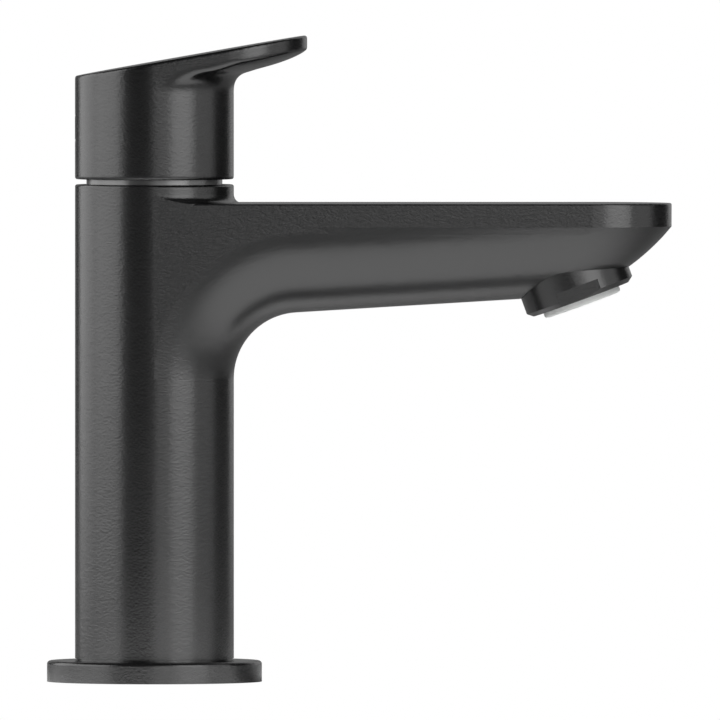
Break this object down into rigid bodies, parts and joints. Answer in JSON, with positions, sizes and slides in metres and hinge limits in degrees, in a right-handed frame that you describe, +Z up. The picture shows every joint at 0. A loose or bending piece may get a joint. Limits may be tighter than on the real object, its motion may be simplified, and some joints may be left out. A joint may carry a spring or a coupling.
{
  "type": "basin mixer tap",
  "caption": "Single-hole basin mixer in matte black: round column on a round base plate, flat-topped spout with a rounded keel and tilted aerator, and a flat lever that turns.",
  "frame": {"origin": "centre of the base plate's underside, on the column's axis, at the deck plane", "axes": "+Z up along the column, +X along the spout towards its tip, +Y to the right of a user who faces the spout"},
  "size_m": [0.1337, 0.046, 0.1383],
  "materials": {
    "coated_brass": "matte",
    "bare_brass": "satin",
    "black_plastic": "matte",
    "white_plastic": "matte",
    "grey_plastic": "satin",
    "black_rubber": "matte",
    "white_ceramic": "polished",
    "steel": "satin"
  },
  "bodies": {
    "fixed_body": {"aerator_collar": "coated_brass", "aerator_diffuser": "grey_plastic", "aerator_insert": "grey_plastic", "aerator_washer": "black_rubber", "base_gasket": "black_rubber", "base_plate": "coated_brass", "body_casting": "coated_brass", "cartridge_base": "white_plastic", "cartridge_housing": "bare_brass", "check_valves": "white_plastic", "column_seal": "black_rubber", "fixed_disc": "white_ceramic", "flow_regulator": "white_plastic", "housing_o_ring": "black_rubber", "inlet_screen": "grey_plastic", "inlet_strainers": "steel", "neck_ring": "black_plastic", "port_seals": "black_rubber", "regulator_o_ring": "black_rubber", "retaining_nut": "bare_brass"},
    "lever": {"handle": "coated_brass", "handle_adapter": "white_plastic", "adapter_screw": "steel", "grub_screw": "steel", "screw_cap": "black_plastic", "spindle": "bare_brass", "stem_o_rings": "black_rubber", "snap_ring": "steel", "disc_carrier": "white_plastic", "moving_disc": "white_ceramic", "thrust_washer": "white_plastic"}
  },
  "joints": [
    {"name": "handle_turn", "type": "hinge", "parent": "fixed_body", "child": "lever", "pos_m": [0, 0, 0.1], "axis": [0, 0, 1], "range_deg": [0, 118]}
  ]
}
